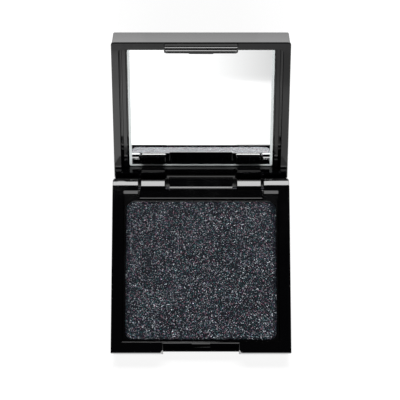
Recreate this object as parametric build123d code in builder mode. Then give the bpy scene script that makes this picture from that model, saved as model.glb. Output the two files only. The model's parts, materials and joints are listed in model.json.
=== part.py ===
"""Single-pan eyeshadow compact, lid open at its stop. Millimetres.

X runs along the hinge, the front edge is at -Y, Z is up.
The origin is the centre of the flat underside of the base.
"""
import os
from math import cos, radians, sin

from build123d import *

os.makedirs("parts", exist_ok=True)

# ---- driving dimensions -------------------------------------------------
base_width = 46.0
base_height = 5.4
front_reach = 44.6            # hinge axis to the front edge of the base
knuckle_r = base_height / 2   # the rear edge of the base is rounded about the hinge
flat_end = 0.115              # where its top starts to fall away behind the rim
shoulder = (1.45, 2.55)       # where that nearly flat top turns down
knuckle_back = (2.42, 1.5)    # a point on the round below it
open_angle = 124.2            # lid direction, measured up from the front

axis_y = (front_reach - knuckle_r) / 2
axis_z = base_height / 2
rim = base_height / 2         # rim plane of the base, above the axis

wall_lean = 0.95              # the walls lean in towards the underside
foot_round = 1.1
edge_round = 0.2
floor_thickness = 1.2
label_thickness = 0.1

recess_half = 20.1
recess_front = -41.6
recess_rear = -3.34
rear_break = 0.14
worn_width = 0.1
worn_depth = 0.016
ear_inner = 16.0              # the recess runs further back at its corners
ear_rear = -1.9
tray_drop = 0.8

pan_half_x = 19.35
pan_front = -40.85
pan_rear = -4.0
pan_corner = 2.2
pan_wall = 0.25
pan_bottom = -rim + floor_thickness + 0.12
pan_lip = 1.75
cake_top = 2.15

scoop_half = 10.4             # thumb scoop in the front wall
scoop_depth = 0.95
scoop_undercut = 0.9
latch_slot_half = 9.7
latch_slot_rear = -42.0
latch_slot_depth = 2.3
catch_half = 2.45

block_half = 8.3              # fixed block between the two lid lugs
block_top = rim + 0.4
pocket_r = 2.9
pocket_outer = 16.3
lug_inner = 9.3
lug_outer = 15.7
lug_r = 2.6
# top of a lug: a flat, then a gentle fall, as on the base beside it when the lid is open
lug_top = ((0, 0), (1.824, 1.852), (2.277, 1.186), (2.79, 0.213), (2.382, -1.041))
pin_r = 0.6
pin_hole_r = 0.65
pin_inner_end = 6.0
pin_outer_end = 22.3

lid_width = 45.2
lid_rim = -2.8                # rim plane of the lid in the lid's own axes
lid_thickness = 5.8
lid_front = 44.4
lid_rear = 1.3
lid_lip = 0.2
lid_side_lean = 0.3
lid_rear_lean = 1.45
lid_edge_round = 0.7
lid_corner = 0.75
lid_floor = 1.1
pad_reach = 4.45
cavity_half = 20.65
cavity_rear = 3.2
cavity_front = 42.1
bezel_half = 20.1
bezel_bore = 19.05
bezel_height = 2.4
glass_half = 18.67
glass_rear = 3.35
glass_front = 41.0
glass_thickness = 1.2
glass_bevel = 0.7
glass_below_rim = 2.7
latch_half = 9.3
latch_inner = 42.5
latch_outer = 44.2
latch_top = lid_rim + 2.1
latch_round = 0.95
hook_half = 3.1

lid_outer = lid_rim - lid_thickness
lid_bed = lid_outer + lid_floor
glass_top = lid_rim - glass_below_rim
glass_bed = glass_top - glass_thickness
tape_top = glass_bed - 0.05

# ---- working planes -----------------------------------------------------
tilt = radians(open_angle)
reach = Vector(0, -cos(tilt), sin(tilt))      # from the hinge to the free edge
inward = Vector(0, -sin(tilt), -cos(tilt))    # out of the mirror
axis = Vector(0, axis_y, axis_z)

base_side = Plane(origin=axis, x_dir=(0, 1, 0), z_dir=(1, 0, 0))
base_front = Plane(origin=axis, x_dir=(-1, 0, 0), z_dir=(0, 1, 0))
lid_side = Plane(origin=axis, x_dir=reach, z_dir=(1, 0, 0))
lid_end = Plane(origin=axis, x_dir=(-1, 0, 0), z_dir=reach)


def base_level(height):
    """Plane parallel to the table, at a height above the hinge axis."""
    return Plane(origin=axis + Vector(0, 0, height), x_dir=(1, 0, 0), z_dir=(0, 0, 1))


def lid_level(height):
    """Plane parallel to the mirror, at a height above the hinge axis."""
    return Plane(origin=axis + inward * height, x_dir=(1, 0, 0), z_dir=inward)


def middle(low, high):
    return (low + high) / 2


# ---- base shell ---------------------------------------------------------
half = base_width / 2
foot_line = -rim - 0.25       # the side rounding meets the underside at a slight crease
foot_lean = wall_lean * (rim - foot_line) / base_height

with BuildPart() as base_shell:
    # side outline with the rounded hinge edge
    with BuildSketch(base_side) as outline:
        with BuildLine():
            Polyline(
                (0, rim), (-front_reach, rim),
                (-front_reach + wall_lean, -rim), (0, -rim),
            )
            RadiusArc((0, -rim), (knuckle_r, 0), -knuckle_r)
            ThreePointArc((knuckle_r, 0), knuckle_back, shoulder)
            Polyline(shoulder, (flat_end, rim), (0, rim))
        make_face()
        fillet(outline.vertices().sort_by(Axis.X)[1], foot_round)
    extrude(amount=half, both=True)
    # leaning side walls
    with BuildSketch(base_front.offset(-60)) as walls:
        with BuildLine():
            Polyline(
                (half, rim + 1), (half, rim), (half - foot_lean, foot_line),
                (-half + foot_lean, foot_line), (-half, rim), (-half, rim + 1), (half, rim + 1),
            )
        make_face()
        fillet(walls.vertices().sort_by(Axis.Y)[:2], foot_round + 0.3)
    extrude(amount=120, mode=Mode.INTERSECT)
    rim_face = base_shell.faces().filter_by(Axis.Z).sort_by(Axis.Z)[-1]
    fillet(rim_face.edges().filter_by(Axis.X).sort_by(Axis.Y)[0], edge_round)
    # fixed block of the hinge, standing a little proud of the rim
    with BuildSketch(base_side):
        with BuildLine():
            Polyline(
                (-0.78, 0), (-0.78, block_top - 0.33), (-0.34, block_top),
                (2.0, block_top), (2.6, 2.5), (2.68, 0), (-0.78, 0),
            )
        make_face()
    extrude(amount=block_half, both=True)
    # round pockets for the lid lugs, open at the rear
    for side in (-1, 1):
        with BuildSketch(base_side.offset(side * middle(block_half, pocket_outer))):
            Circle(pocket_r)
            with Locations((knuckle_r, 0)):
                Rectangle(2 * knuckle_r, 3 * knuckle_r)
        extrude(amount=(pocket_outer - block_half) / 2, both=True, mode=Mode.SUBTRACT)
    # holes for the hinge pins
    for side in (-1, 1):
        with BuildSketch(base_side.offset(side * middle(pin_inner_end, 24.0))):
            Circle(pin_r)
        extrude(amount=(24.0 - pin_inner_end) / 2, both=True, mode=Mode.SUBTRACT)
    # recess for the tray and the pan
    with BuildSketch(base_level(-rim + floor_thickness)):
        with Locations((0, middle(recess_front, recess_rear))):
            Rectangle(2 * recess_half, recess_rear - recess_front)
        for side in (-1, 1):
            with Locations((side * middle(ear_inner, recess_half), middle(recess_front, ear_rear))):
                Rectangle(recess_half - ear_inner, ear_rear - recess_front)
    extrude(amount=base_height, mode=Mode.SUBTRACT)
    # bevel at the back of the two recess corners
    for side in (-1, 1):
        with BuildSketch(base_side.offset(side * middle(ear_inner, recess_half))):
            Polygon(
                (ear_rear - 0.1, rim + 0.1), (ear_rear + 0.75, rim + 0.1),
                (ear_rear - 0.1, rim - 0.75), align=None,
            )
        extrude(amount=(recess_half - ear_inner) / 2, both=True, mode=Mode.SUBTRACT)
    # broken edge between them
    with BuildSketch(base_side):
        Polygon(
            (recess_rear - 0.1, rim + 0.1), (recess_rear + rear_break + 0.1, rim + 0.1),
            (recess_rear - 0.1, rim - rear_break - 0.1), align=None,
        )
    extrude(amount=ear_inner, both=True, mode=Mode.SUBTRACT)
    # front edge of the recess, very slightly worn down
    with BuildSketch(base_side):
        Polygon(
            (recess_front - worn_width, rim + 0.1), (recess_front - worn_width, rim),
            (recess_front, rim - worn_depth), (recess_front + 0.1, rim - worn_depth),
            (recess_front + 0.1, rim + 0.1), align=None,
        )
    extrude(amount=recess_half, both=True, mode=Mode.SUBTRACT)
    # thumb scoop with slanted ends
    with BuildSketch(base_level(-rim - 0.5)):
        Polygon(
            (-scoop_half - 0.8, -front_reach - 1), (scoop_half + 0.8, -front_reach - 1),
            (latch_slot_half, -front_reach + scoop_depth),
            (-latch_slot_half, -front_reach + scoop_depth), align=None,
        )
    extrude(amount=base_height + 2, mode=Mode.SUBTRACT)
    # the wall of the scoop runs back underneath
    scoop_wall = -front_reach + scoop_depth
    slot_floor = rim - latch_slot_depth
    with BuildSketch(base_side):
        Polygon(
            (-front_reach - 1, slot_floor), (scoop_wall, slot_floor),
            (scoop_wall + scoop_undercut, -rim), (scoop_wall + scoop_undercut, -rim - 0.2),
            (-front_reach - 1, -rim - 0.2), align=None,
        )
    extrude(amount=latch_slot_half, both=True, mode=Mode.SUBTRACT)
    # slot that takes the latch bar of the lid
    with BuildSketch(base_level(rim - latch_slot_depth)):
        with Locations((0, middle(-front_reach - 1, latch_slot_rear))):
            Rectangle(2 * latch_slot_half, latch_slot_rear + front_reach + 1)
    extrude(amount=latch_slot_depth + 1, mode=Mode.SUBTRACT)
    # catch ridge at the top of the slot wall
    with BuildSketch(base_side):
        Polygon(
            (latch_slot_rear + 0.1, rim - 0.1), (latch_slot_rear, rim - 0.1),
            (latch_slot_rear - 0.12, rim - 0.35), (latch_slot_rear - 0.12, rim - 0.55),
            (latch_slot_rear, rim - 0.8), (latch_slot_rear + 0.1, rim - 0.8), align=None,
        )
    extrude(amount=catch_half, both=True)
    # shallow seat for the label
    with BuildSketch(Plane.XY):
        RectangleRounded(28.2, 22.2, 2.1)
    extrude(amount=label_thickness, mode=Mode.SUBTRACT)
base_shell.part.label = "base_shell"
export_step(base_shell.part, "parts/base_shell.step")

# ---- tray insert --------------------------------------------------------
fit_gap = 0.1

with BuildPart() as tray_insert:
    with BuildSketch(base_level(-rim + floor_thickness)):
        with Locations((0, middle(recess_front, recess_rear))):
            Rectangle(2 * (recess_half - fit_gap), recess_rear - recess_front - 2 * fit_gap)
        for side in (-1, 1):
            with Locations((side * middle(ear_inner, recess_half), middle(recess_front, ear_rear))):
                Rectangle(recess_half - ear_inner - 2 * fit_gap,
                          ear_rear - recess_front - 2 * fit_gap)
        with Locations((0, middle(pan_front, pan_rear))):
            RectangleRounded(2 * pan_half_x + 0.16, pan_rear - pan_front + 0.16,
                             pan_corner + 0.08, mode=Mode.SUBTRACT)
    extrude(amount=2 * rim - floor_thickness - tray_drop)
tray_insert.part.label = "tray_insert"
export_step(tray_insert.part, "parts/tray_insert.step")

# ---- metal pan ----------------------------------------------------------
with BuildPart() as pan:
    with BuildSketch(base_level(pan_bottom)):
        with Locations((0, middle(pan_front, pan_rear))):
            RectangleRounded(2 * pan_half_x, pan_rear - pan_front, pan_corner)
    extrude(amount=pan_lip - pan_bottom)
    with BuildSketch(base_level(pan_bottom + pan_wall)):
        with Locations((0, middle(pan_front, pan_rear))):
            RectangleRounded(2 * (pan_half_x - pan_wall),
                             pan_rear - pan_front - 2 * pan_wall, pan_corner - pan_wall)
    extrude(amount=10, mode=Mode.SUBTRACT)
pan.part.label = "pan"
export_step(pan.part, "parts/pan.step")

# ---- shadow cake, filling the pan and covering its lip ------------------
with BuildPart() as shadow_cake:
    with BuildSketch(base_level(pan_bottom + pan_wall)):
        with Locations((0, middle(pan_front, pan_rear))):
            RectangleRounded(2 * (pan_half_x - pan_wall),
                             pan_rear - pan_front - 2 * pan_wall, pan_corner - pan_wall)
    extrude(amount=pan_lip - pan_bottom - pan_wall)
    with BuildSketch(base_level(pan_lip)):
        with Locations((0, middle(pan_front, pan_rear))):
            RectangleRounded(2 * pan_half_x, pan_rear - pan_front, pan_corner)
    extrude(amount=cake_top - pan_lip)
    crown = shadow_cake.faces().sort_by(Axis.Z)[-1]
    fillet(crown.edges(), 0.25)
shadow_cake.part.label = "shadow_cake"
export_step(shadow_cake.part, "parts/shadow_cake.step")

# ---- glue pad under the pan ---------------------------------------------
with BuildPart() as pan_glue_pad:
    with BuildSketch(base_level(-rim + floor_thickness)):
        with Locations((0, middle(pan_front, pan_rear))):
            Circle(12)
    extrude(amount=0.12)
pan_glue_pad.part.label = "pan_glue_pad"
export_step(pan_glue_pad.part, "parts/pan_glue_pad.step")

# ---- hinge pins ---------------------------------------------------------
pin_length = pin_outer_end - pin_inner_end
pin_centre = middle(pin_inner_end, pin_outer_end)

with BuildPart() as hinge_pin_left:
    with BuildSketch(base_side.offset(-pin_centre)):
        Circle(pin_r)
    extrude(amount=pin_length / 2, both=True)
    chamfer(hinge_pin_left.edges().filter_by(GeomType.CIRCLE), 0.1)
hinge_pin_left.part.label = "hinge_pin_left"
export_step(hinge_pin_left.part, "parts/hinge_pin_left.step")

with BuildPart() as hinge_pin_right:
    with BuildSketch(base_side.offset(pin_centre)):
        Circle(pin_r)
    extrude(amount=pin_length / 2, both=True)
    chamfer(hinge_pin_right.edges().filter_by(GeomType.CIRCLE), 0.1)
hinge_pin_right.part.label = "hinge_pin_right"
export_step(hinge_pin_right.part, "parts/hinge_pin_right.step")

# ---- blank label under the base -----------------------------------------
with BuildPart() as bottom_label:
    with BuildSketch(Plane.XY):
        RectangleRounded(28, 22, 2)
    extrude(amount=label_thickness)
bottom_label.part.label = "bottom_label"
export_step(bottom_label.part, "parts/bottom_label.step")

# ---- lid shell ----------------------------------------------------------
lid_half = lid_width / 2
body_half = lid_half - lid_lip
body_front = lid_front - lid_lip
crown_line = lid_outer - 0.2

# bar along the free edge, rounded outside and at its two ends
with BuildPart() as latch_bar:
    with BuildSketch(lid_side) as profile:
        Polygon(
            (latch_inner, lid_rim - 0.1), (latch_outer, lid_rim - 0.1),
            (latch_outer, latch_top), (latch_inner + 0.2, latch_top),
            (latch_inner, latch_top - 0.2), align=None,
        )
        fillet(profile.vertices().sort_by(Axis.Y)[-2:].sort_by(Axis.X)[-1], latch_round)
    extrude(amount=latch_half, both=True)
    with BuildSketch(lid_end.offset(latch_inner - 1)) as ends:
        with Locations((0, middle(lid_rim - 0.1, latch_top))):
            Rectangle(2 * latch_half, latch_top - lid_rim + 0.1)
        fillet(ends.vertices().sort_by(Axis.Y)[-2:], 0.75)
    extrude(amount=4, mode=Mode.INTERSECT)

with BuildPart() as lid_shell:
    # side outline: the rear wall leans forward, so the open lid clears the table
    with BuildSketch(lid_side) as outline:
        Polygon(
            (body_front, lid_rim), (lid_rear, lid_rim),
            (lid_rear + lid_rear_lean, lid_outer), (body_front - lid_side_lean, lid_outer),
            align=None,
        )
        fillet(outline.vertices().sort_by(Axis.Y)[:2], lid_edge_round)
    extrude(amount=lid_half, both=True)
    # leaning side walls
    with BuildSketch(lid_end.offset(-20)) as walls:
        Polygon(
            (body_half, lid_rim + 1), (-body_half, lid_rim + 1),
            (-body_half + lid_side_lean, crown_line), (body_half - lid_side_lean, crown_line),
            align=None,
        )
        fillet(walls.vertices().sort_by(Axis.Y)[:2], lid_edge_round + 0.25)
    extrude(amount=80, mode=Mode.INTERSECT)
    # rounded corners of the walls
    with BuildSketch(lid_level(lid_outer - 1)):
        with Locations((0, middle(lid_rear, lid_front))):
            RectangleRounded(lid_width + 0.2, lid_front - lid_rear + 0.2, lid_corner)
    extrude(amount=lid_thickness + 2, mode=Mode.INTERSECT)
    # thin lip round the rim, standing proud of the walls
    with BuildSketch(lid_level(lid_rim - 0.5)):
        with Locations((0, middle(lid_rear, lid_front))):
            RectangleRounded(lid_width, lid_front - lid_rear, lid_corner)
    extrude(amount=0.5)
    # cavity for the mirror
    with BuildSketch(lid_level(lid_bed)):
        with Locations((0, middle(cavity_rear, cavity_front))):
            RectangleRounded(2 * cavity_half, cavity_front - cavity_rear, 0.4)
    extrude(amount=10, mode=Mode.SUBTRACT)
    # hinge lugs: arm, knuckle, and a pad over the edge of the cavity
    for side in (-1, 1):
        with BuildSketch(lid_side.offset(side * middle(lug_inner, lug_outer))):
            Circle(lug_r)
            Polygon(lug_top, align=None)
            Polygon(
                (0.9, lid_rim), (0.3, -2.58), (-1.2, -2.3), (-0.6, -3.05),
                (0.6, -4.2), (2.6, -5.6), (2.6, lid_rim), align=None,
            )
            Polygon(
                (2.0, lid_rim), (pad_reach, lid_rim), (pad_reach, lid_rim - 0.5),
                (cavity_rear - 0.2, lid_rim - 1.7), (2.0, lid_rim - 1.7), align=None,
            )
        extrude(amount=(lug_outer - lug_inner) / 2, both=True)
    # relief that lets the rear wall swing past the fixed block
    with BuildSketch(lid_side):
        Circle(3.9)
    extrude(amount=8.9, both=True, mode=Mode.SUBTRACT)
    # running holes for the pins
    for side in (-1, 1):
        with BuildSketch(lid_side.offset(side * middle(lug_inner, lug_outer))):
            Circle(pin_hole_r)
        extrude(amount=4, both=True, mode=Mode.SUBTRACT)
    # latch bar on the free edge, with the hook on its inner face
    add(latch_bar.part)
    with BuildSketch(lid_side):
        Polygon(
            (42.6, lid_rim + 2.05), (42.5, lid_rim + 2.05), (42.3, lid_rim + 1.85),
            (42.3, lid_rim + 1.55), (42.5, lid_rim + 1.25), (42.6, lid_rim + 1.25), align=None,
        )
    extrude(amount=hook_half, both=True)
lid_shell.part.label = "lid_shell"
export_step(lid_shell.part, "parts/lid_shell.step")

# ---- three-sided frame that holds the mirror ----------------------------
with BuildPart() as mirror_bezel:
    with BuildSketch(lid_level(lid_bed)):
        with Locations((0, middle(cavity_rear + 0.1, cavity_front - 0.1))):
            Rectangle(2 * bezel_half, cavity_front - cavity_rear - 0.2)
        with Locations((0, middle(cavity_rear - 1, glass_front + 0.1))):
            Rectangle(2 * bezel_bore, glass_front + 0.1 - cavity_rear + 1, mode=Mode.SUBTRACT)
    extrude(amount=bezel_height)
mirror_bezel.part.label = "mirror_bezel"
export_step(mirror_bezel.part, "parts/mirror_bezel.step")

# ---- mirror glass with a bevelled edge ----------------------------------
with BuildPart() as mirror_glass:
    with BuildSketch(lid_level(glass_bed)):
        with Locations((0, middle(glass_rear, glass_front))):
            Rectangle(2 * glass_half, glass_front - glass_rear)
    extrude(amount=glass_thickness)
    face = mirror_glass.faces().sort_by(lambda f: (f.center() - axis).dot(inward))[-1]
    chamfer(face.edges(), length=0.2, length2=glass_bevel, reference=face)
mirror_glass.part.label = "mirror_glass"
export_step(mirror_glass.part, "parts/mirror_glass.step")

# ---- silvering on the back of the glass ---------------------------------
with BuildPart() as mirror_silvering:
    with BuildSketch(lid_level(tape_top)):
        with Locations((0, middle(glass_rear, glass_front))):
            Rectangle(2 * glass_half, glass_front - glass_rear)
    extrude(amount=glass_bed - tape_top)
mirror_silvering.part.label = "mirror_silvering"
export_step(mirror_silvering.part, "parts/mirror_silvering.step")

# ---- double-sided tape behind the mirror --------------------------------
with BuildPart() as mirror_tape:
    with BuildSketch(lid_level(lid_bed)):
        with Locations((0, middle(glass_rear, glass_front))):
            Rectangle(30, 30)
    extrude(amount=tape_top - lid_bed)
mirror_tape.part.label = "mirror_tape"
export_step(mirror_tape.part, "parts/mirror_tape.step")

print("hinge axis at y", axis_y, "z", axis_z)
print("lid direction", tuple(reach), "out of the mirror", tuple(inward))
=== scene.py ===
"""Dresses a square eyeshadow compact, standing open on a pale studio table.

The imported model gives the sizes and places. This script finishes the moulded
shells, sets the mirror plate, pours and glitters the shadow, and lights it all.
Lengths are in metres unless a name ends in _mm.
"""

import json
import logging
import math
from dataclasses import dataclass, field
from enum import Enum

import bmesh
import bpy
from mathutils import Matrix, Vector, noise
from mathutils.bvhtree import BVHTree
from mathutils.kdtree import KDTree


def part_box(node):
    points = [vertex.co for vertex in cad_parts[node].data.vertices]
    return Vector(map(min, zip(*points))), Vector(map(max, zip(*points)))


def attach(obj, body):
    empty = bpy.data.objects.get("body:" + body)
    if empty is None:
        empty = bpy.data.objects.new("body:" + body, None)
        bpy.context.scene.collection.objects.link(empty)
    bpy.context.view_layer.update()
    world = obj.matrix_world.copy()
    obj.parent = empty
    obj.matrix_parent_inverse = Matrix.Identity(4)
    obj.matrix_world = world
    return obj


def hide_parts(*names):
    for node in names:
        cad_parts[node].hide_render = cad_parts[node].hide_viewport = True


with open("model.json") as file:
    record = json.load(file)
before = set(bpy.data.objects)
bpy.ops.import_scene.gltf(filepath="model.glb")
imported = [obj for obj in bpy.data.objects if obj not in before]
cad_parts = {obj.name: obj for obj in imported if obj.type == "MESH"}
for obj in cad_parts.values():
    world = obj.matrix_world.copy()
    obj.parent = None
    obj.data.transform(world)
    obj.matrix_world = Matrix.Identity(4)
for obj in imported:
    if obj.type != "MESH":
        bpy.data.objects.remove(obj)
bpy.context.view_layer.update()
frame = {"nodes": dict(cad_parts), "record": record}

log = logging.getLogger("compact")

MM = 0.001

Band = tuple[float, float, float, float]


class Body(Enum):
    """The two bodies of the compact that pieces ride on."""

    BASE = "base"
    LID = "lid"


class Slot(Enum):
    """Material slots of the record, one named with each new piece."""

    CASE = "case_black"
    INSERT = "insert_black"
    MIRROR = "mirror"
    SHADOW = "shadow_glitter"


# --------------------------------------------------------------------------
# Shader helpers
# --------------------------------------------------------------------------


class Shader:
    """A node tree of one material, with short calls for the nodes used here."""

    def __init__(self, name: str) -> None:
        """Start an empty material.

        Args:
            name: Name of the material.
        """
        self.material = bpy.data.materials.new(name)
        self.material.use_nodes = True
        self.tree = self.material.node_tree
        self.tree.nodes.clear()
        self.output = self.tree.nodes.new("ShaderNodeOutputMaterial")
        self.coords = self.tree.nodes.new("ShaderNodeTexCoord").outputs["Object"]

    def node(self, kind: str, **settings: object) -> bpy.types.Node:
        """Add a node.

        Args:
            kind: Blender's identifier of the node type.
            settings: Attributes to set on the node.

        Returns:
            The new node.
        """
        made = self.tree.nodes.new(kind)
        for key, value in settings.items():
            setattr(made, key, value)
        return made

    def link(self, source: bpy.types.NodeSocket, target: bpy.types.NodeSocket) -> None:
        """Join an output to an input."""
        self.tree.links.new(source, target)

    def principled(self, **inputs: object) -> bpy.types.Node:
        """Add the main shader and join it to the output.

        Args:
            inputs: Socket values, with underscores for the blanks in their names.

        Returns:
            The shader node.
        """
        made = self.node("ShaderNodeBsdfPrincipled")
        for key, value in inputs.items():
            made.inputs[key.replace("_", " ")].default_value = value
        self.link(made.outputs["BSDF"], self.output.inputs["Surface"])
        return made

    def stretched(self, scale: tuple[float, float, float]) -> bpy.types.NodeSocket:
        """Object coordinates multiplied along each axis.

        Args:
            scale: Factor along X, Y and Z.

        Returns:
            The stretched coordinates.
        """
        mapping = self.node("ShaderNodeMapping")
        mapping.inputs["Scale"].default_value = scale
        self.link(self.coords, mapping.inputs["Vector"])
        return mapping.outputs["Vector"]

    def noise(self, size_mm: float, detail: float = 3.0, rough: float = 0.55,
              coords: bpy.types.NodeSocket | None = None) -> bpy.types.NodeSocket:
        """Noise whose features are about a given size.

        Args:
            size_mm: Size of the features.
            detail: Number of finer octaves.
            rough: Weight of the finer octaves.
            coords: Coordinates to read, object coordinates by default.

        Returns:
            The noise factor.
        """
        made = self.node("ShaderNodeTexNoise")
        made.inputs["Scale"].default_value = 1.0 / (size_mm * MM)
        made.inputs["Detail"].default_value = detail
        made.inputs["Roughness"].default_value = rough
        self.link(coords or self.coords, made.inputs["Vector"])
        return made.outputs["Fac"]

    def cells(self, size_mm: float, output: str = "Distance") -> bpy.types.NodeSocket:
        """Voronoi cells of about a given size.

        Args:
            size_mm: Size of the cells.
            output: Which of the node's outputs to return.

        Returns:
            The chosen output.
        """
        made = self.node("ShaderNodeTexVoronoi")
        made.inputs["Scale"].default_value = 1.0 / (size_mm * MM)
        self.link(self.coords, made.inputs["Vector"])
        return made.outputs[output]

    def spread(self, source: bpy.types.NodeSocket, low: float, high: float,
               to_low: float, to_high: float) -> bpy.types.NodeSocket:
        """Map a value from one range to another, held at the ends.

        Args:
            source: Value to map.
            low: Lower end of the incoming range.
            high: Upper end of the incoming range.
            to_low: Result at the lower end.
            to_high: Result at the upper end.

        Returns:
            The mapped value.
        """
        made = self.node("ShaderNodeMapRange")
        made.inputs["From Min"].default_value = low
        made.inputs["From Max"].default_value = high
        made.inputs["To Min"].default_value = to_low
        made.inputs["To Max"].default_value = to_high
        self.link(source, made.inputs["Value"])
        return made.outputs["Result"]

    def math(self, operation: str, first: bpy.types.NodeSocket,
             second: bpy.types.NodeSocket | float) -> bpy.types.NodeSocket:
        """Combine two values.

        Args:
            operation: Blender's name of the operation.
            first: First value.
            second: Second value, a socket or a number.

        Returns:
            The result.
        """
        made = self.node("ShaderNodeMath", operation=operation)
        self.link(first, made.inputs[0])
        if isinstance(second, (int, float)):
            made.inputs[1].default_value = second
        else:
            self.link(second, made.inputs[1])
        return made.outputs[0]

    def ramp(self, source: bpy.types.NodeSocket,
             stops: list[tuple[float, tuple[float, float, float]]],
             stepped: bool = False) -> bpy.types.NodeSocket:
        """Turn a value into a colour.

        Args:
            source: Value between 0 and 1.
            stops: Places and colours of the ramp.
            stepped: Whether colours change at once, with no blend between.

        Returns:
            The colour.
        """
        made = self.node("ShaderNodeValToRGB")
        made.color_ramp.interpolation = "CONSTANT" if stepped else "LINEAR"
        points = made.color_ramp.elements
        while len(points) < len(stops):
            points.new(0.5)
        for point, (place, colour) in zip(points, stops):
            point.position = place
            point.color = (*colour, 1.0)
        self.link(source, made.inputs["Fac"])
        return made.outputs["Color"]

    def bump(self, shader: bpy.types.Node, height: bpy.types.NodeSocket,
             depth_mm: float, strength: float = 1.0) -> None:
        """Give a shader a relief.

        Args:
            shader: Shader node whose normal is bent.
            height: Height between 0 and 1.
            depth_mm: Depth that a height of 1 stands for.
            strength: Share of the relief that is used.
        """
        made = self.node("ShaderNodeBump")
        made.inputs["Strength"].default_value = strength
        made.inputs["Distance"].default_value = depth_mm * MM
        self.link(height, made.inputs["Height"])
        self.link(made.outputs["Normal"], shader.inputs["Normal"])


# --------------------------------------------------------------------------
# Finishes
# --------------------------------------------------------------------------


@dataclass(frozen=True)
class PolishedBlack:
    """Black plastic from a polished mould, with faint wipe marks and hairlines."""

    name: str
    tint: tuple[float, float, float] = (0.0008, 0.0008, 0.001)
    gloss: float = 0.035
    wiped: float = 0.085
    ripple_mm: float = 0.0006

    def make(self) -> bpy.types.Material:
        """Build the material.

        Returns:
            The finished material.
        """
        s = Shader(self.name)
        shader = s.principled(Base_Color=(*self.tint, 1.0), IOR=1.5)
        wipe = s.spread(s.noise(7.0, 4.0, 0.6, s.stretched((1.0, 0.45, 0.45))), 0.52, 0.75, 0.0, 1.0)
        hair = s.spread(s.noise(0.9, 2.0, 0.5, s.stretched((0.02, 1.0, 1.0))), 0.66, 0.74, 0.0, 0.5)
        worn = s.math("ADD", wipe, hair)
        s.link(s.spread(worn, 0.0, 1.4, self.gloss, self.wiped), shader.inputs["Roughness"])
        s.bump(shader, s.noise(1.6, 2.0, 0.5), self.ripple_mm)
        return s.material


@dataclass(frozen=True)
class SilveredGlass:
    """The face of the mirror, clean but for a trace of dust."""

    name: str
    tint: tuple[float, float, float] = (0.945, 0.95, 0.95)

    def make(self) -> bpy.types.Material:
        """Build the material.

        Returns:
            The finished material.
        """
        s = Shader(self.name)
        shader = s.principled(Base_Color=(*self.tint, 1.0), Metallic=1.0)
        dust = s.spread(s.cells(1.4), 0.0, 0.05, 0.12, 0.0)
        haze = s.spread(s.noise(9.0, 4.0), 0.45, 0.8, 0.0, 0.025)
        s.link(s.math("ADD", dust, haze), shader.inputs["Roughness"])
        return s.material


@dataclass(frozen=True)
class GroundGlass:
    """The ground arris round the mirror, pale and matt."""

    name: str
    tint: tuple[float, float, float] = (0.5, 0.53, 0.53)

    def make(self) -> bpy.types.Material:
        """Build the material.

        Returns:
            The finished material.
        """
        s = Shader(self.name)
        shader = s.principled(Roughness=0.34, IOR=1.52)
        grain = s.noise(0.12, 3.0, 0.7)
        low = tuple(0.72 * c for c in self.tint)
        high = tuple(min(1.0, 1.25 * c) for c in self.tint)
        s.link(s.ramp(grain, [(0.3, low), (0.7, high)]), shader.inputs["Base Color"])
        s.bump(shader, grain, 0.01, 0.6)
        return s.material


@dataclass(frozen=True)
class PressedShadow:
    """Dark slate shadow: fine grains, cloudy patches and a soft sheen."""

    name: str
    deep: tuple[float, float, float] = (0.002, 0.0023, 0.0035)
    pale: tuple[float, float, float] = (0.010, 0.0115, 0.016)

    def make(self) -> bpy.types.Material:
        """Build the material.

        Returns:
            The finished material.
        """
        s = Shader(self.name)
        shader = s.principled(Roughness=0.36, IOR=1.1)
        cloud = s.noise(4.5, 4.0, 0.6)
        grain = s.noise(0.22, 2.0, 0.7)
        mixed = s.math("ADD", s.math("MULTIPLY", cloud, 0.6), s.math("MULTIPLY", grain, 0.5))
        s.link(s.ramp(mixed, [(0.4, self.deep), (0.72, self.pale)]), shader.inputs["Base Color"])
        height = s.math("ADD", s.math("MULTIPLY", grain, 0.6), s.math("MULTIPLY", s.cells(0.16), 0.5))
        s.bump(shader, height, 0.035, 0.9)
        return s.material


@dataclass(frozen=True)
class GlitterFoil:
    """Foil flakes whose colour follows the tint stored on each one."""

    name: str
    attribute: str = "flake_tint"

    def make(self) -> bpy.types.Material:
        """Build the material.

        Returns:
            The finished material.
        """
        s = Shader(self.name)
        shader = s.principled(Metallic=1.0, Roughness=0.45)
        tint = s.node("ShaderNodeAttribute", attribute_name=self.attribute)
        stops = [
            (0.0, (0.010, 0.012, 0.017)), (0.26, (0.018, 0.070, 0.074)), (0.44, (0.060, 0.120, 0.126)),
            (0.55, (0.165, 0.076, 0.104)), (0.66, (0.066, 0.052, 0.092)), (0.75, (0.140, 0.148, 0.165)),
            (0.91, (0.270, 0.285, 0.305)),
        ]
        s.link(s.ramp(tint.outputs["Fac"], stops, stepped=True), shader.inputs["Base Color"])
        return s.material


@dataclass(frozen=True)
class DrawnMetal:
    """Plain metal with lines left by drawing or turning."""

    name: str
    tint: tuple[float, float, float]
    rough: float
    along: tuple[float, float, float]

    def make(self) -> bpy.types.Material:
        """Build the material.

        Returns:
            The finished material.
        """
        s = Shader(self.name)
        shader = s.principled(Metallic=1.0)
        lines = s.noise(0.08, 3.0, 0.6, s.stretched(self.along))
        dull = tuple(0.8 * c for c in self.tint)
        s.link(s.ramp(lines, [(0.3, dull), (0.7, self.tint)]), shader.inputs["Base Color"])
        s.link(s.spread(lines, 0.3, 0.7, self.rough * 0.8, self.rough * 1.4), shader.inputs["Roughness"])
        s.bump(shader, lines, 0.004, 0.5)
        return s.material


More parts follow.
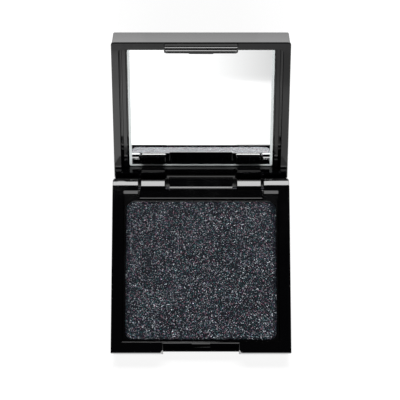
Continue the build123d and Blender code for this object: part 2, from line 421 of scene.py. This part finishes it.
@dataclass(frozen=True)
class LabelPaper:
    """Uncoated white label with a fibre grain."""

    name: str

    def make(self) -> bpy.types.Material:
        """Build the material.

        Returns:
            The finished material.
        """
        s = Shader(self.name)
        shader = s.principled(Roughness=0.82, IOR=1.45)
        fibre = s.noise(0.35, 5.0, 0.7, s.stretched((1.0, 0.35, 1.0)))
        s.link(s.ramp(fibre, [(0.3, (0.70, 0.695, 0.675)), (0.7, (0.84, 0.835, 0.82))]),
               shader.inputs["Base Color"])
        s.bump(shader, fibre, 0.02, 0.5)
        return s.material


@dataclass(frozen=True)
class SoftAdhesive:
    """Foam tape or set glue: dull, slightly yellow, full of small bubbles."""

    name: str
    tint: tuple[float, float, float] = (0.72, 0.70, 0.62)

    def make(self) -> bpy.types.Material:
        """Build the material.

        Returns:
            The finished material.
        """
        s = Shader(self.name)
        shader = s.principled(Roughness=0.6, IOR=1.45)
        bubbles = s.cells(0.3)
        dark = tuple(0.75 * c for c in self.tint)
        s.link(s.ramp(bubbles, [(0.1, dark), (0.5, self.tint)]), shader.inputs["Base Color"])
        s.bump(shader, bubbles, 0.03, 0.6)
        return s.material


@dataclass(frozen=True)
class BackingPaint:
    """Grey paint that protects the silver on the back of the mirror."""

    name: str
    tint: tuple[float, float, float] = (0.14, 0.16, 0.165)

    def make(self) -> bpy.types.Material:
        """Build the material.

        Returns:
            The finished material.
        """
        s = Shader(self.name)
        shader = s.principled(Roughness=0.45, IOR=1.5)
        mottle = s.noise(1.2, 5.0, 0.65)
        pale = tuple(1.35 * c for c in self.tint)
        s.link(s.ramp(mottle, [(0.3, self.tint), (0.7, pale)]), shader.inputs["Base Color"])
        s.bump(shader, mottle, 0.01, 0.5)
        return s.material


# --------------------------------------------------------------------------
# Mesh helpers
# --------------------------------------------------------------------------


def new_piece(name: str, mesh: bpy.types.Mesh, body: Body, slot: Slot,
              *stands_for: str) -> bpy.types.Object:
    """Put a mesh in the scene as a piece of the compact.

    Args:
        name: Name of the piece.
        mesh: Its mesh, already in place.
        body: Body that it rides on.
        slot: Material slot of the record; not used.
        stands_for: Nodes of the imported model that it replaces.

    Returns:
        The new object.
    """
    piece = bpy.data.objects.new(name, mesh)
    bpy.context.scene.collection.objects.link(piece)
    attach(piece, body.value)
    if stands_for:
        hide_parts(*stands_for)
    log.info("%s: %d faces on %s", name, len(mesh.polygons), body.value)
    return piece


def applied(holder: bpy.types.Object, name: str) -> bpy.types.Mesh:
    """Turn an object's modifiers into a plain mesh and remove the object.

    Args:
        holder: Object whose modifiers are applied.
        name: Name of the resulting mesh.

    Returns:
        The finished mesh.
    """
    graph = bpy.context.evaluated_depsgraph_get()
    mesh = bpy.data.meshes.new_from_object(holder.evaluated_get(graph), depsgraph=graph)
    mesh.name = name
    holder.modifiers.clear()
    bpy.data.objects.remove(holder, do_unlink=True)
    return mesh


@dataclass
class EdgeBreak:
    """Breaks the outer edges of a moulded piece, as the mould does.

    Inner corners stay crisp, and so does an edge with too little room for the
    break. The share and the reach say when a new point has strayed from the
    moulded surface, and how far round it an edge is given up, both as parts of
    the break's width.
    """

    width_mm: float = 0.12
    merge_mm: float = 0.002
    steps: int = 1
    sharp_from_deg: float = 32.0
    broken_from_deg: float = 50.0
    flat_within: float = 0.004
    crisp: tuple[tuple[Vector, Vector], ...] = ()
    stray_share: float = 0.62
    give_up_reach: float = 1.5
    tries: int = 8

    def stays_crisp(self, place: Vector) -> bool:
        """Whether a place lies in one of the boxes where edges are left alone.

        Args:
            place: Middle of an edge.

        Returns:
            True if it does.
        """
        return any(all(a <= c <= b for a, c, b in zip(low, place, high)) for low, high in self.crisp)

    def prepared(self, source: bpy.types.Mesh) -> bmesh.types.BMesh:
        """Merge a node's loose triangles and mark the edges to break.

        Args:
            source: Mesh of the node, left as it is.

        Returns:
            The merged mesh, with a bevel weight on each outer edge.
        """
        work = bmesh.new()
        work.from_mesh(source)
        bmesh.ops.remove_doubles(work, verts=work.verts, dist=self.merge_mm * MM)
        weight = work.edges.layers.float.new("bevel_weight_edge")
        for face in work.faces:
            face.smooth = True
        for edge in work.edges:
            bend = math.degrees(edge.calc_face_angle_signed(0.0))
            edge.smooth = abs(bend) < self.sharp_from_deg
            middle = (edge.verts[0].co + edge.verts[1].co) / 2
            broken = bend > self.broken_from_deg and not self.stays_crisp(middle)
            edge[weight] = 1.0 if broken else 0.0
        return work

    def broken(self, work: bmesh.types.BMesh, name: str) -> bpy.types.Mesh:
        """Break the marked edges of a prepared mesh.

        Args:
            work: The prepared mesh.
            name: Name of the new mesh.

        Returns:
            The mesh with its edges broken.
        """
        mesh = bpy.data.meshes.new(name)
        work.to_mesh(mesh)
        holder = bpy.data.objects.new(name, mesh)
        bpy.context.scene.collection.objects.link(holder)
        bevel = holder.modifiers.new("edge_break", "BEVEL")
        bevel.width = self.width_mm * MM
        bevel.segments = self.steps
        bevel.limit_method = "WEIGHT"
        bevel.use_clamp_overlap = False
        bevel.miter_outer = "MITER_SHARP"
        return applied(holder, name)

    def lands(self, work: bmesh.types.BMesh) -> tuple[list[int], list[float]]:
        """Gather the flat lands of a mesh.

        Args:
            work: Mesh with up-to-date face indices.

        Returns:
            The land of each face, and the area of each land.
        """
        label = [-1] * len(work.faces)
        areas = []
        for seed in work.faces:
            if label[seed.index] >= 0:
                continue
            label[seed.index] = len(areas)
            total, waiting = 0.0, [seed]
            while waiting:
                face = waiting.pop()
                total += face.calc_area()
                for edge in face.edges:
                    if edge.calc_face_angle(math.pi) > self.flat_within:
                        continue
                    for other in edge.link_faces:
                        if label[other.index] < 0:
                            label[other.index] = len(areas)
                            waiting.append(other)
            areas.append(total)
        return label, areas

    def shaded(self, mesh: bpy.types.Mesh) -> bpy.types.Mesh:
        """Give a broken mesh flat lands and crisp creases.

        Args:
            mesh: The mesh with its edges broken, which is changed.

        Returns:
            The same mesh, with a normal set on each corner.
        """
        work = bmesh.new()
        work.from_mesh(mesh)
        work.faces.index_update()
        for edge in work.edges:
            edge.smooth = math.degrees(edge.calc_face_angle(math.pi)) < self.sharp_from_deg
        label, areas = self.lands(work)
        normals = []
        for face in work.faces:
            for corner in face.loops:
                seen, waiting, total, counted = {face.index}, [face], Vector(), set()
                while waiting:
                    here = waiting.pop()
                    land = label[here.index]
                    if land not in counted:
                        counted.add(land)
                        total += here.normal * areas[land]
                    for edge in here.edges:
                        if not edge.smooth or corner.vert not in edge.verts:
                            continue
                        for other in edge.link_faces:
                            if other.index not in seen:
                                seen.add(other.index)
                                waiting.append(other)
                normals.append(total.normalized())
        work.to_mesh(mesh)
        work.free()
        mesh.normals_split_custom_set(normals)
        return mesh

    def finish(self, source: bpy.types.Object, name: str,
               material: bpy.types.Material) -> bpy.types.Mesh:
        """Copy a node's mesh with its outer edges broken.

        Args:
            source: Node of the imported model, left as it is.
            name: Name of the new mesh.
            material: Finish of the whole mesh.

        Returns:
            The finished copy.
        """
        work = self.prepared(source.data)
        surface = BVHTree.FromBMesh(work)
        weight = work.edges.layers.float["bevel_weight_edge"]
        width = self.width_mm * MM
        for attempt in range(self.tries):
            mesh = self.broken(work, name)
            limit = self.stray_share * width
            astray = [v.co for v in mesh.vertices if surface.find_nearest(v.co)[3] > limit]
            log.info("%s: try %d, %d points astray", name, attempt + 1, len(astray))
            if not astray:
                break
            near = KDTree(len(astray))
            for index, place in enumerate(astray):
                near.insert(place, index)
            near.balance()
            for edge in work.edges:
                if edge[weight] > 0.0:
                    ends = [v.co for v in edge.verts] + [(edge.verts[0].co + edge.verts[1].co) / 2]
                    if min(near.find(end)[2] for end in ends) < (self.give_up_reach + attempt) * width:
                        edge[weight] = 0.0
        work.free()
        mesh = self.shaded(mesh)
        mesh.materials.clear()
        mesh.materials.append(material)
        return mesh


# --------------------------------------------------------------------------
# Sub-assemblies
# --------------------------------------------------------------------------


@dataclass
class Hinge:
    """Where the lid turns, and which way it points at rest."""

    name: str = "lid_hinge"
    centre: Vector = field(default_factory=Vector)
    reach: Vector = field(default_factory=Vector)
    inward: Vector = field(default_factory=Vector)

    def __post_init__(self) -> None:
        """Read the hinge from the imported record."""
        for joint in frame["record"]["behaviour"]["joints"]:
            if joint["name"] == self.name:
                self.centre = Vector(joint["pos_m"])
                angle = math.radians(joint["range_deg"][1])
        self.reach = Vector((0.0, -math.cos(angle), math.sin(angle)))
        self.inward = Vector((0.0, -math.sin(angle), -math.cos(angle)))

    def lid_point(self, across: float, out: float, up: float) -> Vector:
        """Place a point given in the lid's own axes.

        Args:
            across: Distance along the hinge.
            out: Distance from the hinge towards the free edge.
            up: Distance out of the mirror.

        Returns:
            The point in the frame of the compact.
        """
        return self.centre + Vector((across, 0.0, 0.0)) + out * self.reach + up * self.inward


@dataclass
class BaseCase:
    """The moulded base and the liner round its pan.

    The top edge of the latch slot's wall stays crisp beside the catch. It runs
    along X from and to the slot places, inside the box of Y and Z.
    """

    black: bpy.types.Material
    liner: bpy.types.Material
    edge_mm: float = 0.13
    liner_edge_mm: float = 0.1
    slot_x_mm: tuple[tuple[float, float], ...] = ((-9.9, -2.5), (2.5, 9.9))
    slot_y_mm: tuple[float, float] = (-21.3, -20.9)
    slot_z_mm: tuple[float, float] = (4.9, 5.5)

    def build(self) -> None:
        """Finish the shell and the liner."""
        nodes = frame["nodes"]
        (front, back), (low, high) = self.slot_y_mm, self.slot_z_mm
        slot_wall = tuple(
            (MM * Vector((left, front, low)), MM * Vector((right, back, high)))
            for left, right in self.slot_x_mm)
        edges = EdgeBreak(self.edge_mm, crisp=slot_wall)
        shell = edges.finish(nodes["base_shell"], "base_case", self.black)
        new_piece("base_case", shell, Body.BASE, Slot.CASE, "base_shell")
        tray = EdgeBreak(self.liner_edge_mm).finish(nodes["tray_insert"], "tray_liner", self.liner)
        new_piece("tray_liner", tray, Body.BASE, Slot.INSERT, "tray_insert")


@dataclass
class LidCase:
    """The moulded lid and the frame that holds its mirror."""

    black: bpy.types.Material
    liner: bpy.types.Material
    edge_mm: float = 0.18
    frame_edge_mm: float = 0.1

    def build(self) -> None:
        """Finish the shell and the mirror frame."""
        nodes = frame["nodes"]
        shell = EdgeBreak(self.edge_mm).finish(nodes["lid_shell"], "lid_case", self.black)
        new_piece("lid_case", shell, Body.LID, Slot.CASE, "lid_shell")
        bezel = EdgeBreak(self.frame_edge_mm).finish(nodes["mirror_bezel"], "mirror_frame", self.liner)
        new_piece("mirror_frame", bezel, Body.LID, Slot.INSERT, "mirror_bezel")


@dataclass
class MirrorPlate:
    """The mirror: a silvered plate with a narrow ground arris."""

    face: bpy.types.Material
    arris: bpy.types.Material
    hinge: Hinge
    half_width: float = 18.67 * MM
    near: float = 3.35 * MM
    far: float = 41.0 * MM
    level: float = -5.5 * MM
    thickness: float = 1.2 * MM
    arris_width: float = 0.68 * MM
    arris_drop: float = 0.2 * MM
    back_break: float = 0.12 * MM
    corner: float = 0.5 * MM
    least_corner: float = 0.05 * MM
    corner_steps: int = 5

    def outline(self, inset: float) -> list[tuple[float, float]]:
        """Rounded rectangle of the plate, inset from its edge.

        Args:
            inset: Distance from the edge of the plate.

        Returns:
            Points across and out, in order round the plate.
        """
        radius = max(self.corner - inset, self.least_corner)
        left, right = -self.half_width + inset, self.half_width - inset
        low, high = self.near + inset, self.far - inset
        centres = [
            (right - radius, low + radius, -90.0), (right - radius, high - radius, 0.0),
            (left + radius, high - radius, 90.0), (left + radius, low + radius, 180.0),
        ]
        points = []
        for x, y, start in centres:
            for step in range(self.corner_steps + 1):
                turn = math.radians(start + 90.0 * step / self.corner_steps)
                points.append((x + radius * math.cos(turn), y + radius * math.sin(turn)))
        return points

    def build(self) -> None:
        """Build the plate in place of its plain node."""
        back = self.level - self.thickness
        rings = [
            (self.back_break, back), (0.0, back + self.back_break),
            (0.0, self.level - self.arris_drop), (self.arris_width, self.level),
        ]
        work = bmesh.new()
        loops = []
        for inset, up in rings:
            loops.append([work.verts.new(self.hinge.lid_point(x, y, up)) for x, y in self.outline(inset)])
        count = len(loops[0])
        work.faces.new(reversed(loops[0])).material_index = 1
        for lower, upper in zip(loops, loops[1:]):
            for i in range(count):
                j = (i + 1) % count
                work.faces.new((lower[i], lower[j], upper[j], upper[i])).material_index = 1
        work.faces.new(loops[-1]).material_index = 0
        bmesh.ops.recalc_face_normals(work, faces=work.faces)
        mesh = bpy.data.meshes.new("mirror_plate")
        work.to_mesh(mesh)
        work.free()
        mesh.materials.append(self.face)
        mesh.materials.append(self.arris)
        new_piece("mirror_plate", mesh, Body.LID, Slot.MIRROR, "mirror_glass")


@dataclass
class ShadowFill:
    """The shadow in its pan: a softly crowned cake and the glitter on it."""

    powder: bpy.types.Material
    foil: bpy.types.Material
    columns: int = 190
    corner: float = 2.2 * MM
    shoulder: float = 0.9 * MM
    drop: float = 0.38 * MM
    fall_power: float = 1.25
    ripple: float = 0.045 * MM
    ripple_size: float = 7.0 * MM
    grain: float = 0.022 * MM
    grain_size: float = 0.75 * MM
    lip_gap: float = 0.005 * MM
    smooth_above_lip: float = 0.02 * MM
    neck_inset: float = 0.28 * MM
    crowding: float = 0.14
    flakes_per_mm2: float = 22.0
    flake_mm: tuple[float, float] = (0.055, 0.115)
    flake_tilt_deg: float = 24.0
    flake_lift: float = 0.03 * MM
    cloud_size: float = 3.2 * MM
    least_share: float = 0.45
    upward_from: float = 0.25
    seed: int = 7

    def rounded(self, across: float, along: float, half_x: float,
                half_y: float) -> tuple[float, float, float]:
        """Place a point of the square grid on the round-cornered cake.

        Args:
            across: Place from -1 to 1 along X.
            along: Place from -1 to 1 along Y.
            half_x: Half the width of the cake.
            half_y: Half the length of the cake.

        Returns:
            X and Y from the middle, and the distance to the edge.
        """
        x, y = across * half_x, along * half_y
        dx = abs(x) - (half_x - self.corner)
        dy = abs(y) - (half_y - self.corner)
        if dx > 0.0 and dy > 0.0:
            size = math.hypot(dx, dy)
            pull = max(dx, dy) / size
            x = math.copysign(half_x - self.corner + dx * pull, x)
            y = math.copysign(half_y - self.corner + dy * pull, y)
            return x, y, self.corner - size * pull
        return x, y, min(half_x - abs(x), half_y - abs(y))

    def steps(self) -> list[float]:
        """Grid places from -1 to 1, closer together near the edges.

        Returns:
            The places in order.
        """
        places = []
        for i in range(self.columns + 1):
            t = 2.0 * i / self.columns - 1.0
            crowded = math.sin(t * math.pi / 2.0) ** 3
            places.append((1.0 - self.crowding) * t + self.crowding * crowded if abs(t) < 1.0 else t)
        return places

    def height(self, x: float, y: float, edge: float, top: float) -> float:
        """Height of the cake's surface.

        Args:
            x: Place along X.
            y: Place along Y.
            edge: Distance to the edge of the cake.
            top: Height of the flat part.

        Returns:
            The height at that place.
        """
        wave = noise.noise(Vector((x, y, 0.0)) / self.ripple_size) * self.ripple
        lump = noise.noise(Vector((x, y, 0.01)) / self.grain_size) * self.grain
        fall = 0.0
        if edge < self.shoulder:
            fall = self.drop * (1.0 - max(edge, 0.0) / self.shoulder) ** self.fall_power
        return top + (wave + lump) * min(1.0, edge / self.shoulder) - fall

    def build_cake(self) -> bpy.types.Object:
        """Build the cake in place of its plain node.

        Returns:
            The cake.
        """
        low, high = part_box("shadow_cake")
        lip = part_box("pan")[1][2]
        half_x, half_y = (high[0] - low[0]) / 2, (high[1] - low[1]) / 2
        mid_x, mid_y = (high[0] + low[0]) / 2, (high[1] + low[1]) / 2
        places = self.steps()
        work = bmesh.new()
        grid = []
        for v in places:
            row = []
            for u in places:
                x, y, edge = self.rounded(u, v, half_x, half_y)
                row.append(work.verts.new((mid_x + x, mid_y + y, self.height(x, y, edge, high[2]))))
            grid.append(row)
        last = len(places) - 1
        for j in range(last):
            for i in range(last):
                work.faces.new((grid[j][i], grid[j][i + 1], grid[j + 1][i + 1], grid[j + 1][i]))
        rim = grid[0][:-1] + [row[-1] for row in grid[:-1]]
        rim += grid[-1][:0:-1] + [row[0] for row in grid[:0:-1]]
        over_lip = lip + self.lip_gap
        foot = [work.verts.new((v.co.x, v.co.y, over_lip)) for v in rim]
        shrink_x, shrink_y = (half_x - self.neck_inset) / half_x, (half_y - self.neck_inset) / half_y
        neck = [work.verts.new((mid_x + (v.co.x - mid_x) * shrink_x,
                                mid_y + (v.co.y - mid_y) * shrink_y, over_lip)) for v in rim]
        sole = [work.verts.new((v.co.x, v.co.y, low[2])) for v in neck]
        for ring_a, ring_b in ((rim, foot), (foot, neck), (neck, sole)):
            for i in range(len(rim)):
                j = (i + 1) % len(rim)
                work.faces.new((ring_b[i], ring_b[j], ring_a[j], ring_a[i]))
        work.faces.new(list(reversed(sole)))
        bmesh.ops.recalc_face_normals(work, faces=work.faces)
        if work.calc_volume(signed=True) < 0.0:
            bmesh.ops.reverse_faces(work, faces=work.faces)
        for face in work.faces:
            face.smooth = face.calc_center_median().z > lip + self.smooth_above_lip
        mesh = bpy.data.meshes.new("shadow_surface")
        work.to_mesh(mesh)
        work.free()
        mesh.materials.append(self.powder)
        return new_piece("shadow_surface", mesh, Body.BASE, Slot.SHADOW, "shadow_cake")

    def flake_tree(self) -> bpy.types.NodeTree:
        """Node tree that strews flakes over the upper face of the cake.

        Returns:
            The tree, with inputs for the density, sizes, tilt and seed.
        """
        tree = bpy.data.node_groups.new("glitter_strewing", "GeometryNodeTree")
        face = tree.interface
        face.new_socket("Geometry", in_out="INPUT", socket_type="NodeSocketGeometry")
        for label, kind in (("Density", "Float"), ("Smallest", "Float"), ("Largest", "Float"),
                            ("Tilt", "Float"), ("Lift", "Float"), ("Seed", "Int")):
            face.new_socket(label, in_out="INPUT", socket_type="NodeSocket" + kind)
        face.new_socket("Geometry", in_out="OUTPUT", socket_type="NodeSocketGeometry")
        add = tree.nodes.new
        link = tree.links.new
        given = add("NodeGroupInput").outputs
        result = add("NodeGroupOutput").inputs

        upward = add("ShaderNodeSeparateXYZ")
        link(add("GeometryNodeInputNormal").outputs["Normal"], upward.inputs[0])
        is_top = add("FunctionNodeCompare")
        is_top.inputs["B"].default_value = self.upward_from
        link(upward.outputs["Z"], is_top.inputs["A"])

        place = add("GeometryNodeInputPosition")
        cloud = add("ShaderNodeTexNoise")
        cloud.inputs["Scale"].default_value = 1.0 / self.cloud_size
        cloud.inputs["Detail"].default_value = 3.0
        link(place.outputs["Position"], cloud.inputs["Vector"])
        share = add("ShaderNodeMapRange")
        share.inputs["From Min"].default_value = 0.3
        share.inputs["From Max"].default_value = 0.7
        share.inputs["To Min"].default_value = self.least_share
        share.inputs["To Max"].default_value = 1.0
        link(cloud.outputs["Fac"], share.inputs["Value"])
        dense = add("ShaderNodeMath")
        dense.operation = "MULTIPLY"
        link(share.outputs["Result"], dense.inputs[0])
        link(given["Density"], dense.inputs[1])

        points = add("GeometryNodeDistributePointsOnFaces")
        link(given["Geometry"], points.inputs["Mesh"])
        link(is_top.outputs["Result"], points.inputs["Selection"])
        link(dense.outputs[0], points.inputs["Density"])
        link(given["Seed"], points.inputs["Seed"])

        flake = add("GeometryNodeMeshCircle")
        flake.fill_type = "NGON"
        flake.inputs["Vertices"].default_value = 5
        flake.inputs["Radius"].default_value = 1.0

        size = add("FunctionNodeRandomValue")
        link(given["Smallest"], size.inputs[2])
        link(given["Largest"], size.inputs[3])
        link(given["Seed"], size.inputs["Seed"])
        strew = add("GeometryNodeInstanceOnPoints")
        link(points.outputs["Points"], strew.inputs["Points"])
        link(flake.outputs["Mesh"], strew.inputs["Instance"])
        link(points.outputs["Rotation"], strew.inputs["Rotation"])
        link(size.outputs[1], strew.inputs["Scale"])

        lean_low = add("ShaderNodeMath")
        lean_low.operation = "MULTIPLY"
        lean_low.inputs[1].default_value = -1.0
        link(given["Tilt"], lean_low.inputs[0])
        lows, highs = add("ShaderNodeCombineXYZ"), add("ShaderNodeCombineXYZ")
        for axis in ("X", "Y"):
            link(lean_low.outputs[0], lows.inputs[axis])
            link(given["Tilt"], highs.inputs[axis])
        highs.inputs["Z"].default_value = 2.0 * math.pi
        lean = add("FunctionNodeRandomValue")
        lean.data_type = "FLOAT_VECTOR"
        link(lows.outputs[0], lean.inputs[0])
        link(highs.outputs[0], lean.inputs[1])
        link(given["Seed"], lean.inputs["Seed"])
        turn = add("GeometryNodeRotateInstances")
        link(strew.outputs["Instances"], turn.inputs["Instances"])
        link(lean.outputs[0], turn.inputs["Rotation"])

        rise = add("ShaderNodeCombineXYZ")
        link(given["Lift"], rise.inputs["Z"])
        lift = add("GeometryNodeTranslateInstances")
        lift.inputs["Local Space"].default_value = False
        link(turn.outputs["Instances"], lift.inputs["Instances"])
        link(rise.outputs[0], lift.inputs["Translation"])

        tint = add("FunctionNodeRandomValue")
        tint.inputs[2].default_value = 0.0
        tint.inputs[3].default_value = 1.0
        link(given["Seed"], tint.inputs["Seed"])
        store = add("GeometryNodeStoreNamedAttribute")
        store.domain = "INSTANCE"
        store.inputs["Name"].default_value = "flake_tint"
        link(lift.outputs["Instances"], store.inputs["Geometry"])
        link(tint.outputs[1], store.inputs["Value"])

        real = add("GeometryNodeRealizeInstances")
        link(store.outputs["Geometry"], real.inputs["Geometry"])
        dress = add("GeometryNodeSetMaterial")
        link(real.outputs["Geometry"], dress.inputs["Geometry"])
        dress.inputs["Material"].default_value = self.foil
        link(dress.outputs["Geometry"], result["Geometry"])
        return tree

    def build_glitter(self, cake: bpy.types.Object) -> None:
        """Strew flakes over the cake.

        Args:
            cake: The finished cake.
        """
        holder = bpy.data.objects.new("glitter_work", cake.data.copy())
        bpy.context.scene.collection.objects.link(holder)
        strewing = holder.modifiers.new("strewing", "NODES")
        strewing.node_group = self.flake_tree()
        values = {
            "Density": self.flakes_per_mm2 / (MM * MM), "Smallest": self.flake_mm[0] * MM,
            "Largest": self.flake_mm[1] * MM, "Tilt": math.radians(self.flake_tilt_deg),
            "Lift": self.flake_lift, "Seed": self.seed,
        }
        for item in strewing.node_group.interface.items_tree:
            if item.in_out == "INPUT" and item.name in values:
                strewing[item.identifier] = values[item.name]
        mesh = applied(holder, "glitter_flakes")
        new_piece("glitter_flakes", mesh, Body.BASE, Slot.SHADOW)

    def build(self) -> None:
        """Build the cake, then its glitter."""
        self.build_glitter(self.build_cake())


@dataclass
class PlainNodes:
    """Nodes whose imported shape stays: each only gets its finish."""

    finishes: dict[str, bpy.types.Material]

    def build(self) -> None:
        """Give each node its material."""
        for name, material in self.finishes.items():
            node = frame["nodes"][name]
            if not node.material_slots:
                node.data.materials.append(material)
            for slot in node.material_slots:
                slot.material = material
            log.info("%s: dressed with %s", name, material.name)


# --------------------------------------------------------------------------
# Studio
# --------------------------------------------------------------------------


@dataclass(frozen=True)
class Softbox:
    """A soft light panel that faces the compact."""

    name: str
    elevation_deg: float
    distance: float
    width: float
    height: float
    radiance: float
    aim: tuple[float, float, float] = (0.0, 0.02, 0.01)

    def hang(self) -> None:
        """Hang the panel at its place."""
        light = bpy.data.lights.new(self.name, "AREA")
        light.shape = "RECTANGLE"
        light.size = self.width
        light.size_y = self.height
        light.energy = self.radiance * math.pi * self.width * self.height
        lamp = bpy.data.objects.new(self.name, light)
        bpy.context.scene.collection.objects.link(lamp)
        lamp.visible_camera = False
        rise = math.radians(self.elevation_deg)
        away = Vector((0.0, -math.cos(rise), math.sin(rise)))
        lamp.location = Vector(self.aim) + away * self.distance
        turn = away.to_track_quat("Z", "Y").to_matrix().to_4x4()
        lamp.matrix_world = Matrix.Translation(lamp.location) @ turn


@dataclass
class Studio:
    """Table, surroundings, lights and camera.

    A band holds where it starts and ends, and its values there.
    """

    camera_elevation_deg: float = 72.77
    camera_distance: float = 0.600
    camera_lens: float = 206.8
    target: tuple[float, float, float] = (-0.00025, 0.01821, 0.002)
    panels: tuple[Softbox, ...] = (
        Softbox("back_panel", 119.75, 1.0, 0.80, 0.344, 14.0),
        Softbox("front_panel", 34.0, 1.0, 0.80, 0.30, 13.0),
        Softbox("front_card", 14.7, 1.0, 0.80, 0.36, 3.0),
    )
    table_half: float = 3.0
    table_grey: float = 0.13
    vanishing_y: float = 0.6
    # Bands of the table's glow, all painted light: a painted reflection far in front, a painted shadow in
    # front of the base, painted shade under the compact and a brighter glow far behind.
    painted_reflection_band: Band = (-0.034, 0.036, 1.55, 0.64)
    ahead_band: Band = (-0.12, -0.06, 1.0, 0.0)
    near_band: Band = (-0.12, -0.06, 0.0, 1.0)
    near_glow: tuple[float, float] = (0.82, 0.14)
    shade_bands: tuple[Band, Band] = ((-0.0288, -0.0255, 1.0, 0.0), (0.0222, 0.0245, 0.0, 1.0))
    rising_band: Band = (0.12, 0.36, 0.0, 1.6)
    far_band: Band = (0.38, 0.52, 0.0, 2.6)
    ahead_of_base: Band = (-0.0219, -0.0214, 1.0, 0.0)
    behind_base: Band = (0.0245, 0.034, 0.0, 1.0)
    beside_base: Band = (0.0222, 0.0228, 0.0, 1.0)
    horizon: Band = (0.05, 0.35, 1.0, 0.25)
    ceiling: Band = (0.70, 0.85, 1.0, 0.0)

    def set_camera(self) -> None:
        """Create the camera and make it the scene's camera."""
        lens = bpy.data.cameras.new("camera")
        lens.lens = self.camera_lens
        lens.sensor_width = 36.0
        lens.clip_start = 0.01
        lens.clip_end = 20.0
        camera = bpy.data.objects.new("camera", lens)
        bpy.context.scene.collection.objects.link(camera)
        rise = math.radians(self.camera_elevation_deg)
        back = Vector((0.0, -math.cos(rise), math.sin(rise)))
        camera.location = Vector(self.target) + back * self.camera_distance
        camera.rotation_euler = (math.pi / 2 - rise, 0.0, 0.0)
        bpy.context.scene.camera = camera

    def lay_table(self) -> None:
        """Lay the table that the compact stands on: dark grey, made pale by a glow that is painted light.
        """
        size = self.table_half
        corners = [(-size, -size, 0), (size, -size, 0), (size, size, 0), (-size, size, 0)]
        mesh = bpy.data.meshes.new("table")
        mesh.from_pydata(corners, [], [(0, 1, 2, 3)])
        s = Shader("table_painted_glow")
        grey = self.table_grey
        # The table glows though it is no lamp: the emission set below is painted light.
        shader = s.principled(Base_Color=(grey, grey, grey, 1.0), Roughness=0.7, IOR=1.1)
        shader.inputs["Emission Color"].default_value = (1.0, 1.0, 1.0, 1.0)
        place = s.node("ShaderNodeSeparateXYZ")
        s.link(s.coords, place.inputs[0])
        x, y = place.outputs["X"], place.outputs["Y"]
        # Far in front, the glow runs from bright on the left to dim on the right, spread by depth: a
        # painted reflection for the mirror to show.
        depth = s.math("ADD", s.math("MULTIPLY", y, -1.0), self.vanishing_y)
        across = s.spread(s.math("DIVIDE", x, depth), *self.painted_reflection_band)
        front = s.math("MULTIPLY", across, s.spread(y, *self.ahead_band))
        side = s.math("ABSOLUTE", x, 0.0)
        # Near the compact, the glow is lower in a strip just in front of the base than beside it: a painted
        # shadow.
        front_shade, side_shade = self.shade_bands
        off_shade = s.math("MAXIMUM", s.spread(y, *front_shade), s.spread(side, *side_shade))
        least, gain = self.near_glow
        lit = s.math("ADD", s.math("MULTIPLY", off_shade, gain), least)
        near = s.math("MULTIPLY", s.spread(y, *self.near_band), lit)
        # Far behind, the glow rises well above white: painted light standing in for a lit sweep behind the
        # compact.
        rise, far = s.spread(y, *self.rising_band), s.spread(y, *self.far_band)
        open_glow = s.math("ADD", s.math("ADD", front, near), s.math("ADD", rise, far))
        # The glow stops under the compact and for a short way behind it: painted shade under the compact.
        ends = s.math("MAXIMUM", s.spread(y, *self.ahead_of_base), s.spread(y, *self.behind_base))
        clear = s.math("MAXIMUM", ends, s.spread(side, *self.beside_base))
        s.link(s.math("MULTIPLY", open_glow, clear), shader.inputs["Emission Strength"])
        mesh.materials.append(s.material)
        table = bpy.data.objects.new("table", mesh)
        bpy.context.scene.collection.objects.link(table)

    def fill_surroundings(self) -> None:
        """Light the horizon and leave the ceiling dark."""
        world = bpy.data.worlds.new("studio")
        bpy.context.scene.world = world
        world.use_nodes = True
        tree = world.node_tree
        tree.nodes.clear()
        link = tree.links.new
        where = tree.nodes.new("ShaderNodeTexCoord")
        parts = tree.nodes.new("ShaderNodeSeparateXYZ")
        link(where.outputs["Generated"], parts.inputs[0])
        both = tree.nodes.new("ShaderNodeMath")
        both.operation = "MULTIPLY"
        for slot, band in zip(both.inputs, (self.horizon, self.ceiling)):
            fade = tree.nodes.new("ShaderNodeMapRange")
            for label, value in zip(("From Min", "From Max", "To Min", "To Max"), band):
                fade.inputs[label].default_value = value
            link(parts.outputs["Z"], fade.inputs["Value"])
            link(fade.outputs["Result"], slot)
        sky = tree.nodes.new("ShaderNodeBackground")
        link(both.outputs[0], sky.inputs["Strength"])
        out = tree.nodes.new("ShaderNodeOutputWorld")
        link(sky.outputs[0], out.inputs["Surface"])

    def build(self) -> None:
        """Set up the whole studio."""
        bpy.context.scene.view_settings.view_transform = "Standard"
        bpy.context.scene.view_settings.look = "None"
        self.set_camera()
        self.lay_table()
        self.fill_surroundings()
        for panel in self.panels:
            panel.hang()
            log.info("%s hung", panel.name)


def main() -> None:
    """Build the compact and its studio in order."""
    logging.basicConfig(level=logging.INFO, format="%(name)s: %(message)s")
    Studio().build()
    case_black = PolishedBlack("case_black").make()
    insert_black = PolishedBlack("insert_black", tint=(0.001, 0.001, 0.0012), gloss=0.06, wiped=0.12).make()
    steel = DrawnMetal("pin_steel", (0.035, 0.035, 0.04), 0.42, (0.05, 1.0, 1.0)).make()
    adhesive = SoftAdhesive("adhesive").make()
    hinge = Hinge()
    BaseCase(case_black, insert_black).build()
    LidCase(case_black, insert_black).build()
    MirrorPlate(SilveredGlass("mirror_face").make(), GroundGlass("mirror_arris").make(), hinge).build()
    ShadowFill(PressedShadow("shadow_powder").make(), GlitterFoil("glitter_foil").make()).build()
    PlainNodes({
        "pan": DrawnMetal("pan_metal", (0.62, 0.62, 0.64), 0.3, (1.0, 0.1, 1.0)).make(),
        "pan_glue_pad": adhesive,
        "hinge_pin_left": steel,
        "hinge_pin_right": steel,
        "bottom_label": LabelPaper("label_paper").make(),
        "mirror_silvering": BackingPaint("mirror_backing").make(),
        "mirror_tape": adhesive,
    }).build()
    bpy.context.view_layer.update()


if __name__ == "__main__":
    main()
